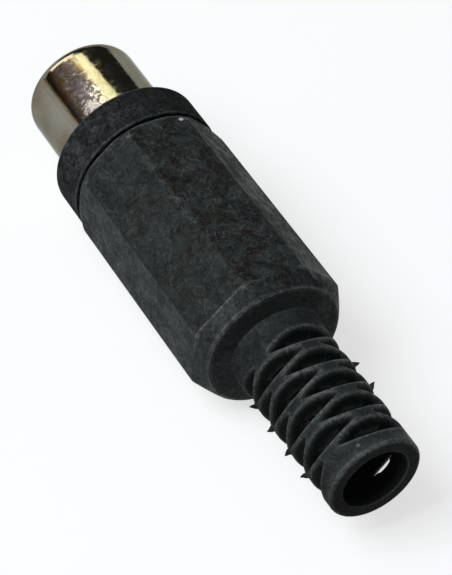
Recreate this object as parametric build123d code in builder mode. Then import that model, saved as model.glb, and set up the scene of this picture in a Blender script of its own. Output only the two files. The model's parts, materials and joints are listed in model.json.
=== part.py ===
"""In-line phono socket: a nickel barrel in a black screwed body with a slotted bend relief.

The axis is X. The collar's front face is at x = 0, the barrel points to -X and the cable leaves to +X.
Z is up, and the socket lies with one flat of its eight-sided cover facing up.
"""

import os
from math import atan2, cos, degrees, radians, sin, sqrt

from build123d import *

# Centre contact, and the walls around it from the plug's pin outwards
pin_diameter = 3.2
contact_wall = 0.25
contact_clearance = 0.05
stem_wall = 0.7
neck_wall = 0.5
spigot_wall = 1.38
press_clearance = 0.01

# Barrel that the plug's skirt slides over
barrel_diameter = 8.3
barrel_wall = 1.0
barrel_reach = 7.3
barrel_seat_step = 0.2
barrel_seat_depth = 2.0
barrel_floor = 0.8
rim_land = 0.1
rim_inner_chamfer = 0.15

# Insulator
insulator_recess = 0.7
entry_clearance = 0.15
entry_depth = 0.8
entry_chamfer = 0.4
stem_proud = 0.6

# Contact lengths
contact_setback = 0.2
contact_depth = 9.6
finger_length = 6.6
finger_slit = 0.35
finger_count = 4
cup_diameter = 2.2
cup_wall = 0.35
cup_length = 2.6
cup_depth = 2.0

# Front body: collar and screw spigot
collar_length = 3.0
collar_step = 0.2
collar_chamfer = 0.15
spigot_length = 6.0
spigot_chamfer = 0.4
thread_clearance = 0.05

# Earth tag with its cable cradle
tag_thickness = 0.4
tag_inset = 0.55
tag_width = 2.2
rivet_clearance = 0.08
tag_length = 7.2
cradle_length = 2.8
cradle_clearance = 0.15
joggle_length = 1.2
ear_height = 1.8

# Rear cover: eight-sided grip
seam_gap = 0.15
cover_wall = 0.76
grip_sides = 8
corner_radius = 0.4
nose_length = 0.9
nose_inset = 0.15
cavity_step = 0.25
tail_room = 1.2
back_wall = 1.68
rear_chamfer_length = 1.2
rear_chamfer_depth = 0.3
rear_cone_length = 1.0
shoulder_inset = 0.31
shoulder_edge = 0.16
shoulder_rise = 0.22
mouth_chamfer = 0.25

# Rear cover: bend relief
cable_diameter = 4.7
relief_wall = 0.95
relief_neck = 2.15
slot_rows = 9
slot_row_step = 1.065
slots_per_row = 3
slot_opening = 1.38
slot_floor = 0.25
slot_bite = 0.22
end_ring = 1.83
end_chamfer = 0.25
relief_mouth_chamfer = 0.12
bore_taper_length = 1.9
flash_height = 0.4
flash_length = 0.5
flash_tip = 0.15
flash_shift = 0.2
flash_thickness = 0.25
flash_root = 0.15

# Radii worked out from the walls, from the axis outwards
pin_r = pin_diameter / 2
contact_r = pin_r + contact_wall
chamber_r = contact_r + contact_clearance
stem_r = chamber_r + stem_wall
neck_bore_r = stem_r + press_clearance
neck_r = neck_bore_r + neck_wall
spigot_bore_r = neck_r + press_clearance
spigot_r = spigot_bore_r + spigot_wall
cover_bore_r = spigot_r + thread_clearance
grip_flat = cover_bore_r + cover_wall
grip_corner = grip_flat / cos(radians(180 / grip_sides))
collar_r = grip_flat + collar_step
barrel_r = barrel_diameter / 2
barrel_bore_r = barrel_r - barrel_wall
barrel_seat_r = barrel_r - barrel_seat_step
insulator_r = barrel_bore_r - press_clearance
entry_r = pin_r + entry_clearance
cup_r = cup_diameter / 2
tag_ring_r = spigot_r - tag_inset
strip_drop = sqrt(tag_ring_r**2 - (tag_width / 2) ** 2)
rivet_lip = strip_drop - tag_thickness - rivet_clearance - neck_r
cavity_r = cover_bore_r - cavity_step
cable_r = cable_diameter / 2
relief_r = cable_r + relief_wall
cradle_r = cable_r + cradle_clearance

# Stations along the axis, from the barrel's rim to the cable end
rim_x = -barrel_reach
insulator_x = rim_x + insulator_recess
floor_x = barrel_seat_depth - barrel_floor
contact_x = insulator_x + entry_depth + contact_setback
spigot_x = collar_length + spigot_length
ring_x = spigot_x + tag_thickness
rivet_x = ring_x + rivet_lip
stem_x = rivet_x + stem_proud
cup_x = stem_x + cup_length
tag_x = ring_x + tag_length
cradle_x = tag_x - cradle_length
cover_x = collar_length + seam_gap
cavity_x = tag_x + tail_room
bore_x = cavity_x + bore_taper_length
grip_x = cavity_x + back_wall
shoulder_x = grip_x + rear_chamfer_length
relief_x = shoulder_x + shoulder_rise
first_row_x = relief_x + relief_neck
end_x = first_row_x + (slot_rows - 1) * slot_row_step + end_ring

os.makedirs("parts", exist_ok=True)

# Barrel: turned tube with a rounded rim, a seat in the collar and a neck rolled over the earth tag
rim_round = barrel_wall - rim_inner_chamfer - rim_land
with BuildPart() as barrel:
    with BuildSketch(Plane.XZ):
        with BuildLine():
            Polyline(
                (rim_x + rim_round, barrel_r),
                (0, barrel_r),
                (0, barrel_seat_r),
                (barrel_seat_depth, barrel_seat_r),
                (barrel_seat_depth, neck_r),
                (ring_x, neck_r),
                (ring_x, neck_r + rivet_lip),
                (rivet_x, neck_r),
                (rivet_x, neck_bore_r),
                (floor_x, neck_bore_r),
                (floor_x, barrel_bore_r),
                (rim_x + rim_inner_chamfer, barrel_bore_r),
                (rim_x, barrel_bore_r + rim_inner_chamfer),
                (rim_x, barrel_r - rim_round),
            )
            TangentArc((rim_x, barrel_r - rim_round), (rim_x + rim_round, barrel_r), tangent=(0, 1))
        make_face()
    revolve(axis=Axis.X)
barrel.part.label = "barrel"
export_step(barrel.part, "parts/barrel.step")

# Insulator: core that fills the barrel, with a stem through its neck and a chamber for the contact
with BuildPart() as insulator:
    with BuildSketch(Plane.XZ):
        with BuildLine():
            Polyline(
                (insulator_x, insulator_r),
                (floor_x, insulator_r),
                (floor_x, stem_r),
                (stem_x, stem_r),
                (stem_x, chamber_r),
                (insulator_x + entry_depth, chamber_r),
                (insulator_x + entry_depth, entry_r),
                (insulator_x + entry_chamfer, entry_r),
                (insulator_x, entry_r + entry_chamfer),
                close=True,
            )
        make_face()
    revolve(axis=Axis.X)
insulator.part.label = "insulator"
export_step(insulator.part, "parts/insulator.step")

# Centre contact: sprung tube for the plug's pin, with a solder cup at its tail
with BuildPart() as centre_contact:
    with BuildSketch(Plane.XZ):
        with BuildLine():
            Polyline(
                (contact_x, pin_r),
                (contact_x, contact_r),
                (stem_x, contact_r),
                (stem_x, cup_r),
                (cup_x, cup_r),
                (cup_x, cup_r - cup_wall),
                (cup_x - cup_depth, cup_r - cup_wall),
                (cup_x - cup_depth, 0),
                (contact_x + contact_depth, 0),
                (contact_x + contact_depth, pin_r),
                close=True,
            )
        make_face()
    revolve(axis=Axis.X)
    with BuildSketch(Plane.YZ.offset(contact_x)):
        with PolarLocations(0, finger_count, start_angle=180 / finger_count):
            Rectangle(2 * contact_r, finger_slit, align=(Align.MIN, Align.CENTER))
    extrude(amount=finger_length, mode=Mode.SUBTRACT)
    with BuildSketch(Plane.XY):
        with Locations((cup_x, 0)):
            Rectangle(cup_depth, 2 * cup_r, align=(Align.MAX, Align.CENTER))
    extrude(amount=cup_r, mode=Mode.SUBTRACT)
centre_contact.part.label = "centre_contact"
export_step(centre_contact.part, "parts/centre_contact.step")

# Front body: collar that shows behind the barrel, and the spigot that the cover screws on
with BuildPart() as front_body:
    with BuildSketch(Plane.XZ):
        with BuildLine():
            Polyline(
                (0, barrel_seat_r + press_clearance),
                (0, collar_r),
                (collar_length, collar_r),
                (collar_length, spigot_r),
                (spigot_x - spigot_chamfer, spigot_r),
                (spigot_x, spigot_r - spigot_chamfer),
                (spigot_x, spigot_bore_r),
                (barrel_seat_depth, spigot_bore_r),
                (barrel_seat_depth, barrel_seat_r + press_clearance),
                close=True,
            )
        make_face()
    revolve(axis=Axis.X)
    collar_edges = front_body.edges().filter_by(GeomType.CIRCLE).sort_by(SortBy.RADIUS)[-2:]
    chamfer(collar_edges, collar_chamfer)
front_body.part.label = "front_body"
export_step(front_body.part, "parts/front_body.step")

# Earth tag: ring under the rolled neck, strip along the cavity and an open cradle for the cable
cradle_outer_r = cradle_r + tag_thickness
with BuildPart() as earth_tag:
    with BuildSketch(Plane.YZ.offset(spigot_x)):
        Circle(tag_ring_r)
        Circle(neck_r + press_clearance, mode=Mode.SUBTRACT)
    extrude(amount=tag_thickness)
    with BuildSketch(Plane.XZ):
        with BuildLine():
            Polyline(
                (spigot_x, -strip_drop),
                (cradle_x - joggle_length, -strip_drop),
                (cradle_x, -cradle_outer_r),
                (cradle_x + tag_thickness, -cradle_outer_r),
                (cradle_x + tag_thickness, -cradle_r),
                (cradle_x, -cradle_r),
                (cradle_x - joggle_length, tag_thickness - strip_drop),
                (spigot_x, tag_thickness - strip_drop),
                close=True,
            )
        make_face()
    extrude(amount=tag_width / 2, both=True)
    with BuildSketch(Plane.YZ.offset(cradle_x)):
        with BuildLine():
            Polyline((-cradle_outer_r, 0), (-cradle_outer_r, ear_height), (-cradle_r, ear_height), (-cradle_r, 0))
            ThreePointArc((-cradle_r, 0), (0, -cradle_r), (cradle_r, 0))
            Polyline((cradle_r, 0), (cradle_r, ear_height), (cradle_outer_r, ear_height), (cradle_outer_r, 0))
            ThreePointArc((cradle_outer_r, 0), (0, -cradle_outer_r), (-cradle_outer_r, 0))
        make_face()
    extrude(amount=cradle_length)
earth_tag.part.label = "earth_tag"
export_step(earth_tag.part, "parts/earth_tag.step")

# Rear cover: the mould parts along two opposite corners of the grip, and the relief's slots lie
# evenly about that line of draw, so that each can be pulled in one of the two halves
draw_angle = -180 / grip_sides
slot_turn = 90 / slots_per_row
slot_floor_r = cable_r - slot_bite
slot_flare = (slot_opening - slot_floor) / 2 / (relief_r - slot_floor_r)
slot_top_r = relief_r + relief_wall
slot_top = slot_floor + 2 * slot_flare * (slot_top_r - slot_floor_r)
rear_taper = degrees(atan2(rear_chamfer_depth, rear_chamfer_length))
shoulder_r = grip_flat - shoulder_inset
shoulder_edge_x = shoulder_x - shoulder_edge
nose_r = collar_r - nose_inset


def radial_plane(x, angle):
    """Plane through the axis at x, with its y axis pointing out at an angle turned from +Z towards +Y."""
    turn = radians(angle)
    return Plane((x, 0, 0), x_dir=(1, 0, 0), z_dir=(0, -cos(turn), sin(turn)))


slot_planes = []
for row in range(slot_rows):
    row_angle = draw_angle + (slot_turn if row % 2 == 0 else -slot_turn)
    for slot in range(slots_per_row):
        slot_angle = row_angle + slot * 360 / slots_per_row
        slot_planes.append(radial_plane(first_row_x + row * slot_row_step, slot_angle))

# Flash left on the parting line, on four ridges of one side and two of the other
flash_planes = []
for side, rows in ((-1, (1, 3, 5, 7)), (1, (2, 4))):
    for row in rows:
        flash_x = first_row_x + row * slot_row_step + side * flash_shift
        flash_planes.append(radial_plane(flash_x, draw_angle + 90 * side))

with BuildPart() as rear_cover:
    with BuildSketch(Plane.YZ.offset(grip_x)) as grip_outline:
        RegularPolygon(grip_flat, grip_sides, major_radius=False, rotation=180 / grip_sides)
        fillet(grip_outline.vertices(), corner_radius)
    extrude(amount=cover_x - grip_x)
    extrude(grip_outline.sketch, amount=rear_chamfer_length, taper=rear_taper)
    with BuildSketch(Plane.XZ):
        with BuildLine():
            Polyline(
                (cover_x, 0),
                (cover_x, nose_r),
                (cover_x + nose_length, grip_corner),
                (shoulder_edge_x - rear_cone_length, grip_corner),
                (shoulder_edge_x, shoulder_r),
                (shoulder_x, shoulder_r - shoulder_edge),
                (shoulder_x, 0),
                close=True,
            )
        make_face()
    revolve(axis=Axis.X, mode=Mode.INTERSECT)
    with BuildSketch(Plane.XZ):
        with BuildLine():
            Polyline(
                (shoulder_x, 0),
                (shoulder_x, shoulder_r - shoulder_edge),
                (relief_x, relief_r),
                (end_x, relief_r),
                (end_x, 0),
                close=True,
            )
        make_face()
    revolve(axis=Axis.X)
    with BuildSketch(Plane.XZ):
        with BuildLine():
            Polyline(
                (cover_x, 0),
                (cover_x, cover_bore_r + mouth_chamfer),
                (cover_x + mouth_chamfer, cover_bore_r),
                (ring_x, cover_bore_r),
                (ring_x, cavity_r),
                (cavity_x, cavity_r),
                (bore_x, cable_r),
                (end_x, cable_r),
                (end_x, 0),
                close=True,
            )
        make_face()
    revolve(axis=Axis.X, mode=Mode.SUBTRACT)
    end_circles = rear_cover.edges().filter_by(GeomType.CIRCLE).group_by(Axis.X)[-1].sort_by(SortBy.RADIUS)
    chamfer(end_circles[-1], end_chamfer)
    chamfer(end_circles[0], relief_mouth_chamfer)
    with BuildSketch(*slot_planes):
        with BuildLine():
            Polyline(
                (-slot_floor / 2, slot_floor_r),
                (slot_floor / 2, slot_floor_r),
                (slot_top / 2, slot_top_r),
                (-slot_top / 2, slot_top_r),
                close=True,
            )
        make_face()
    extrude(amount=slot_top_r, both=True, mode=Mode.SUBTRACT)
    with BuildSketch(*flash_planes):
        with BuildLine():
            Polyline(
                (-flash_length / 2, relief_r - flash_root),
                (flash_length / 2, relief_r - flash_root),
                (flash_tip / 2, relief_r + flash_height),
                (-flash_tip / 2, relief_r + flash_height),
                close=True,
            )
        make_face()
    extrude(amount=flash_thickness / 2, both=True)
rear_cover.part.label = "rear_cover"
export_step(rear_cover.part, "parts/rear_cover.step")
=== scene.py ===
"""Looks of the in-line phono socket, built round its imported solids.

The moulded cover, the threaded front body, the turned barrel and its core are modelled again here as fine
meshes, with soft edges and a screw thread. The contact and the earth tag keep their solids and get a finish.
"""

import json
from math import cos, pi, radians, sin, sqrt, tan

import bpy
import numpy as np
from mathutils import Matrix, Vector


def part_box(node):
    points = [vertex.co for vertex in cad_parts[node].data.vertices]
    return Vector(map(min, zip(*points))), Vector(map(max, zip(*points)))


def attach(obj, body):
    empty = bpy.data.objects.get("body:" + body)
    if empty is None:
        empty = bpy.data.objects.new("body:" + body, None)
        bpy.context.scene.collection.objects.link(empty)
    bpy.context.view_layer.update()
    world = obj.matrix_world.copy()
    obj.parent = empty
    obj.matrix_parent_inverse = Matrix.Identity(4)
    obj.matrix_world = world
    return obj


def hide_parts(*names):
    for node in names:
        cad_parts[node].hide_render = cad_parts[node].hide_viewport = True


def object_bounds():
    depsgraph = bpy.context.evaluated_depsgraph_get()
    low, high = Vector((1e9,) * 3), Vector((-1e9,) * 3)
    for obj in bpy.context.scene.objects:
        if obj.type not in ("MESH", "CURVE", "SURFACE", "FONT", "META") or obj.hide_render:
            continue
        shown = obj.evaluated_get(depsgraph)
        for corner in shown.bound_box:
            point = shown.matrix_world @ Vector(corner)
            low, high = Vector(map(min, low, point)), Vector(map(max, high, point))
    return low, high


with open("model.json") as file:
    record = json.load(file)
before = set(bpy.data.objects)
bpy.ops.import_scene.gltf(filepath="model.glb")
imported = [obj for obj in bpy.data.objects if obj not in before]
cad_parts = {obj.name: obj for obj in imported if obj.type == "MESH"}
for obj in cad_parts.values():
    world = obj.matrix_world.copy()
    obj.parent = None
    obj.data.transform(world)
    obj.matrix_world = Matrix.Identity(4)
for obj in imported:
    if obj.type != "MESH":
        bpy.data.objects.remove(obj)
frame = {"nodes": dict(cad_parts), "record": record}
cad_low, cad_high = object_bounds()

MM = 0.001

# Sizes read from the frame, in millimetres along the axis and out from it
cover_low, cover_high = (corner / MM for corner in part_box("rear_cover"))
barrel_low, barrel_high = (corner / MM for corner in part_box("barrel"))
core_low, core_high = (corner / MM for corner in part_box("insulator"))
body_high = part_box("front_body")[1] / MM
tag_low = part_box("earth_tag")[0] / MM
mounts = {mount["name"]: mount for mount in frame["record"]["mounts"]}
barrel_r = mounts["mating_barrel"]["dims"]["r_mm"]
cable_r = mounts["cable_entry"]["dims"]["r_mm"]
pin_r = mounts["centre_socket"]["dims"]["r_mm"]
cover_x = cover_low.x
end_x = cover_high.x
grip_flat = cover_high.y
collar_r = body_high.y
spigot_x = body_high.x

# Barrel and its core
RIM_ROUND = 0.75
RIM_INNER_ROUND = 0.15
RIM_DROP = 0.045
RIM_DROP_X = -6.2
RIM_DROP_LENGTH = 0.5
BARREL_SEAT_STEP = 0.2
BARREL_SEAT_DEPTH = 2.0
BARREL_FLOOR = 0.8
PRESS_CLEARANCE = 0.01
NECK_WALL = 0.5
STEM_WALL = 0.7
CHAMBER_STEP = 0.3
ENTRY_CLEARANCE = 0.15
ENTRY_DEPTH = 0.8
ENTRY_CHAMFER = 0.4
TAG_THICKNESS = 0.4
METAL_EDGE = 0.03
CORE_EDGE = 0.06

# Collar and spigot of the front body
SEAM_GAP = 0.15
COLLAR_SEAT_ROUND = 0.06
COLLAR_FRONT_ROUND = 0.2
COLLAR_REAR_ROUND = 0.12
SPIGOT_STEP = 1.01
SPIGOT_ROOT = 0.2
SPIGOT_ROOT_ROUND = 0.1
SPIGOT_LEAD = 0.05
SPIGOT_CHAMFER = 0.4
SPIGOT_CHAMFER_ROUND = 0.02
SPIGOT_END_ROUND = 0.08
BODY_BORE_ROUND = 0.05
BODY_BORE_ROWS = (0.8, 1.2)

# Grip of the cover
GRIP_SIDES = 8
CORNER_ROUND = 0.5
NOSE_LENGTH = 0.9
NOSE_INSET = 0.15
GRIP_X = 19.48
TAPER_LENGTH = 1.2
TAPER_DEPTH = 0.3
CONE_LENGTH = 1.0
SHOULDER_INSET = 0.31
SHOULDER_EDGE = 0.16
SHOULDER_RISE = 0.22
SHOULDER_LAND = 0.3
SHOULDER_LEAD = 0.04
FRONT_ROUND = 0.14
REAR_ROUND = 0.1
NOSE_SOFTNESS = 0.12
TAPER_SOFTNESS = 0.015
CONE_SOFTNESS = 0.08

# Bend relief with its staggered slots, and the flash on its ridges
RELIEF_WALL = 0.95
RELIEF_FILLET = 0.12
SLOT_ROWS = 9
SLOT_ROW_STEP = 1.065
SLOTS_PER_ROW = 3
FIRST_ROW_X = 23.05
SLOT_OPENING = 1.38
SLOT_FLOOR = 0.25
SLOT_BITE = 0.17
SLOT_LEAST_SLOPE = 0.3
SLOT_NEAR_SOFTNESS = 0.24
SLOT_NEAR_SHIFT = 0.14
SLOT_FAR_SOFTNESS = 0.14
HOLE_LIP = 0.015
RELIEF_END_ROUND = 0.28
MOUTH_ROUND = 0.12
FLASH_SHIFT = 0.2
FLASH_HEIGHT = 0.4
FLASH_ROOT = 0.15
FLASH_LENGTH = 0.5
FLASH_THICKNESS = 0.25
FLASH_SWELL = 1.1
FLASH_TAPER = 1.5
FLASH_RAGGED = 0.2
FLASH_WAVES = (3, 5, 6)
FLASH_HOOKS = [(-1, 1, -0.25), (-1, 3, -0.06), (-1, 5, 0.05), (-1, 7, -0.12), (1, 2, 0.1), (1, 4, -0.2)]

# Inside of the cover, and the screw thread on both pieces
COVER_BORE_CLEARANCE = 0.05
COVER_CAVITY_STEP = 0.25
CAVITY_X = 17.8
CAVITY_ROUND = 0.2
BORE_X = 19.7
BORE_EDGE = 0.05
BORE_MOUTH = 0.25
BORE_STEP_SLANT = 0.1
BORE_STEP_ROUND = 0.05
BORE_STEP_LEAD = 0.2
THREAD_PITCH = 0.9
THREAD_DEPTH = 0.2
THREAD_MARGIN = 0.1
THREAD_GROOVE = 1.6
THREAD_FLANK = 5.0
THREAD_RUN_OUT = 1.6

# Mesh fineness; the grip's rows are given by how far the first and last lie from the ends, and their steps
COVER_COLUMNS = 184
BODY_COLUMNS = 160
BARREL_COLUMNS = 192
CORE_COLUMNS = 128
CORNER_REACH = radians(1.8)
CORNER_STEPS = 4
ANGLE_DIGITS = 5
NOSE_ROWS = (0.25, 1.45, 10)
FLAT_ROWS = (1.8, 0.45, 34)
TAPER_ROWS = (0.25, 0.05, 22)
EDGE_GUARD = 0.015
ROUND_STEPS = 5
EDGE_STEPS = 3
RIM_STEPS = 16
RIM_DROP_STEPS = 8
BORE_STEPS = 6
SLOT_STEP = 0.085
SLOT_REACH = 0.95
SLOT_MARGIN = 0.1
HOLE_PASSES = 3
HOLE_NUDGE = 1e-4
LEAST_STEEPNESS = 1e-6
LEAST_LENGTH_SQUARED = 1e-8
THREAD_STEP = 0.1
FLASH_SIDES = 12
FLASH_RINGS = 8
SHARP_ANGLE = radians(50)

# Skin of the mouldings: pale edges (wear and painted highlight), sides rubbed from the top, painted black
# shade
LEAST_EDGE_BEND = 1.0
EDGE_BEND_RANGE = 1.6
EDGE_SMOOTHING = 3
CORNER_PALE_EDGE = 0.12
# Painted highlights on the lit side: the taper, lines at the rear edges, and a line round the neck
TAPER_HIGHLIGHT = 0.22
REAR_LINE_HIGHLIGHT = 1.0
REAR_LINE_ANGLE = radians(-45)
REAR_LINE_SPREAD = radians(32)
NECK_LINE_HIGHLIGHT = 0.42
END_FACE_PALE_EDGE = 0.25
LINE_WIDTH = 0.06
SIDE_SCUFFS = (1.0, 0.5, 0.6, 0.5, 0.6, 0.5, 0.25, 0.7)
COLLAR_SCUFFS = (1.0,) * GRIP_SIDES
RELIEF_SCUFF = 0.4
# The relief's shaded side: more mottle, painted shade, and fewer pale edges
RELIEF_SIDE_SCUFF = 0.5
RELIEF_SHADED_ANGLE = radians(-105)
RELIEF_SHADED_SPREAD = radians(45)
FLASH_PALE_EDGE = 0.2
MOUTH_PALE_EDGE = 0.4
# Darkening beside the seam, on its upper side
SEAM_DARKENING = 0.9
SEAM_WIDTH = 0.13
SEAM_ANGLE = radians(15)
SEAM_SPREAD = radians(55)
COLLAR_PALE_EDGE = 0.5
# Painted shade: the collar is blackened except on its lit side
COLLAR_SHADE = 0.9
COLLAR_LIT_ANGLE = radians(-50)
COLLAR_LIT_SPREAD = radians(45)
RELIEF_SIDE_SHADE = 0.5
RELIEF_SIDE_FADE = 0.75
DARK_CORNER_WIDTH = 0.12
DARK_CORNERS = (radians(-67.5), radians(22.5))
DARK_CORNER_SHARE = 0.6
DARK_CORNER_WAVES = ((0.25, 7.3, 40), (0.15, 17.9, 0))
# Painted shade: slot walls and the slots' depths below the skin, and the shoulder's face, are blackened
SLOT_SHADE_DEPTH = 0.07
SLOT_SHADE_FADE = 0.18
LEAST_WALL_SLOPE = 0.4
WALL_SLOPE_FADE = 0.4
SHOULDER_SHADE = 0.3
SHOULDER_FADE = 0.08

# Specks on the cover: place along, round and out from the axis, size and strength
SPECKS = ((3.9, radians(19), 5.607, 0.2, 1.0), (32.6, radians(-22), 3.3, 0.16, 0.15))
SPECK_PALE = (0.6, 0.62, 0.62)
SPECK_CORE = 0.6

# Textures of the mouldings. A noise is given by its scale, detail, roughness and swirl, patches by their
# scale and the range from brown to slate, and a worm mark by its middle, its width and the range that breaks
# it up. A range of four maps its first two values to its last two. Heights and depths are in millimetres.
PATCH_FORM = (6, 0.62, 0.8)
COVER_PATCHES = (560, 0.45, 0.54)
COLLAR_PATCHES = (1300, 0.45, 0.63)
WRINKLE_NOISE = (1900, 4, 0.6, 2.0)
WRINKLE_SHADES = ((0.34, 0.3), (0.46, 0.85), (0.56, 1.05), (0.68, 1.6))
WRINKLE_HEIGHT = 0.05
WORM_NOISE = (1050, 3, 0.6, 1.8)
WORM_DEPTH = 0.02
WORM_BREAK_NOISE = (900, 3, 0.6)
DARK_WORM = (0.5, 0.055, (0.46, 0.54, 0, 0.9))
PALE_WORM = (0.56, 0.03, (0.54, 0.46, 0, 0.3))
GRAIN_NOISE = (6500, 3, 0.6)
GRAIN_HEIGHT = 0.012
GRAIN_STRENGTH = 0.6
PALE_EDGE_BREAKS = (0.42, 0.56, 0.4, 1)
MOTTLE_RANGE = (0.42, 0.58)
# Black of the painted shade and of the dark worm marks
SHADE_AND_MARK_BLACK = (0.005, 0.0055, 0.0055)
SHADE_AND_MARK_ROUGHNESS = 0.85
PALE_EDGE_ROUGHNESS = 0.35

# Plate on the barrel, and the patch that plugs have rubbed
PLATE_EDGE_TINT = (0.55, 0.55, 0.5)
WAVE_NOISE = (900, 1.5, 0.5)
WAVE_HEIGHT = 0.006
STAIN_NOISE = (420, 3, 0.5)
FLECK_NOISE = (1500, 5, 0.7, 1.2)
PLATE_COLOURS = ((0.35, (0.18, 0.158, 0.12)), (0.5, (0.215, 0.205, 0.165)), (0.65, (0.235, 0.228, 0.195)))
PLATE_HAZE = (0.46, 0.62, 0.07, 0.2)
RUB_ANGLE = radians(-34.3)
RUB_REACH = (3.935, 4.005)
RUB_SIDE_RAGGED = 0.12
RUB_FRONT = (-6.35, -6.2)
RUB_FRONT_RAGGED = 0.4
RUB_LENGTH = (-6.8, -0.5)
RUB_LENGTH_TONES = (0.3, 0.8)
RUB_LENGTH_SHARE = 0.4
RUB_BURNT = (-1.15, -0.2)
RUB_BURNT_SHARE = 0.48
RUB_BURNT_TONE = 0.35
RUB_COLOURS = ((0.37, (0.05, 0.036, 0.022)), (0.43, (0.16, 0.12, 0.07)), (0.47, (0.16, 0.14, 0.13)),
               (0.54, (0.25, 0.235, 0.23)), (0.62, (0.72, 0.69, 0.68)))
RUB_GOLDEN_TINT = (1.45, 1.08, 0.55)
RUB_GOLDEN_RANGE = (0.52, 0.6, 0, 0.6)
RUB_HAZE = (0.55, 0.66, 0.11, 0.26)

# Plate on the contact and the tag
STRIP_NOISE = (900, 4, 0.6)
STRIP_RANGE = (0.3, 0.7)

# Floor, in metres, and the room round it by height or side
FLOOR_HALF = 3.0
FLOOR_GREY = (0.5, 0.5, 0.5)
FLOOR_FADE = (0.1, 0.8)
FLOOR_LIFT = (0.66, 0.92)
ROOM_COLOURS = ((0.0, (0.45, 0.45, 0.43)), (0.185, (0.45, 0.45, 0.43)),
                (0.215, (0.04, 0.04, 0.04)), (1.0, (0.06, 0.06, 0.06)))
WALL_COLOURS = ((0.25, (0.05, 0.035, 0.025)), (0.4, (0.26, 0.2, 0.15)),
                (0.55, (0.5, 0.45, 0.45)), (0.8, (0.75, 0.7, 0.72)))
WALL_SIDE = (-0.3, 0.0, 1, 0)
WALL_FOOT = (0.22, 0.34, 0, 1)
SKIRTING_RANGE = (0.185, 0.205, 1, 0)
SKIRTING_WHITE = (0.96, 0.96, 0.94)

# Camera
CAMERA_PLACE = Vector((112.334, -65.048, 116.956)) * MM
CAMERA_AZIMUTH = radians(56.42)
CAMERA_ELEVATION = radians(44.97)
CAMERA_ROLL = radians(6.24)
CAMERA_LENS = 156.5
CAMERA_SENSOR = 36
CAMERA_NEAREST = 0.01

relief_r = cable_r + RELIEF_WALL
shoulder_x = GRIP_X + TAPER_LENGTH
shoulder_r = grip_flat - SHOULDER_INSET
relief_x = shoulder_x + SHOULDER_RISE
spigot_r = collar_r - SPIGOT_STEP
cover_bore_r = spigot_r + COVER_BORE_CLEARANCE
cavity_r = cover_bore_r - COVER_CAVITY_STEP
half_side = radians(180 / GRIP_SIDES)
draw_angle = -half_side
barrel_seat_r = barrel_r - BARREL_SEAT_STEP
barrel_bore_r = core_high.y + PRESS_CLEARANCE
barrel_floor_x = BARREL_SEAT_DEPTH - BARREL_FLOOR
ring_x = tag_low.x + TAG_THICKNESS
chamber_r = pin_r + CHAMBER_STEP
stem_r = chamber_r + STEM_WALL
neck_bore_r = stem_r + PRESS_CLEARANCE
neck_r = neck_bore_r + NECK_WALL


def soft_min(a, b, reach):
    """Smaller of two values, blended over a reach where they cross."""
    blend = np.clip(reach - np.abs(a - b), 0, None)
    return np.minimum(a, b) - blend**2 / (4 * reach)


def arc(start, end, steps):
    """Evenly spaced values from start to end, both included."""
    return np.linspace(start, end, steps + 1)


def all_round(count):
    """Evenly spaced angles round the axis."""
    return np.arange(count) * 2 * pi / count


def rounded_path(points, steps=ROUND_STEPS):
    """Points (x, r) of a polyline whose corners, given as (x, r, round), are turned into arcs.

    A point close to each end of an arc keeps the straight stretch beside it flat in its shading.
    """
    path = [Vector(points[0][:2])]
    for before, corner, after in zip(points, points[1:], points[2:]):
        here = Vector(corner[:2])
        back = (Vector(before[:2]) - here).normalized()
        onward = (Vector(after[:2]) - here).normalized()
        turn = back.angle(onward)
        reach = corner[2] / tan(turn / 2)
        centre = here + (back + onward).normalized() * (corner[2] / sin(turn / 2))
        first = here + back * reach - centre
        last = here + onward * reach - centre
        sweep = first.angle_signed(last)
        path.append(here + back * (reach + EDGE_GUARD))
        for share in arc(0, 1, steps):
            path.append(centre + Matrix.Rotation(-sweep * share, 2) @ first)
        path.append(here + onward * (reach + EDGE_GUARD))
    path.append(Vector(points[-1][:2]))
    return [(point.x, point.y) for point in path]


def octagon(angle, flat):
    """Radius of the eight-sided outline at an angle from +Z, with its corners rounded."""
    from_flat = np.abs((angle + half_side) % (2 * half_side) - half_side)
    from_corner = half_side - from_flat
    centre = (flat - CORNER_ROUND) / cos(half_side)
    reach = np.arctan2(CORNER_ROUND * sin(half_side), centre + CORNER_ROUND * cos(half_side))
    on_arc = np.clip(CORNER_ROUND**2 - (centre * np.sin(from_corner)) ** 2, 0, None)
    corner = centre * np.cos(from_corner) + np.sqrt(on_arc)
    return np.where(from_corner < reach, corner, flat / np.cos(from_flat))


def slotted(x, angle):
    """Radius that the slots leave of the bend relief at a place along and round the axis."""
    floor_r = cable_r - SLOT_BITE
    flare = (SLOT_OPENING - SLOT_FLOOR) / 2 / (relief_r - floor_r)
    left = np.full(np.broadcast(x, angle).shape, relief_r)
    for row in range(SLOT_ROWS):
        from_middle = x - FIRST_ROW_X - row * SLOT_ROW_STEP
        near = np.clip(0.5 - from_middle / SLOT_FLOOR, 0, 1)
        from_floor = np.abs(from_middle) + SLOT_NEAR_SHIFT * near - SLOT_FLOOR / 2
        depth = floor_r + np.clip(from_floor, 0, None) / flare
        softness = SLOT_FAR_SOFTNESS + (SLOT_NEAR_SOFTNESS - SLOT_FAR_SOFTNESS) * near
        side = 1 if row % 2 == 0 else -1
        for slot in range(SLOTS_PER_ROW):
            turn = draw_angle + side * pi / 2 / SLOTS_PER_ROW + slot * 2 * pi / SLOTS_PER_ROW
            slope = np.cos(angle - turn)
            cut = np.where(slope > SLOT_LEAST_SLOPE, depth / np.maximum(slope, SLOT_LEAST_SLOPE), np.inf)
            left = np.where(np.isfinite(cut), soft_min(left, cut, softness), left)
    return left


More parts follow.
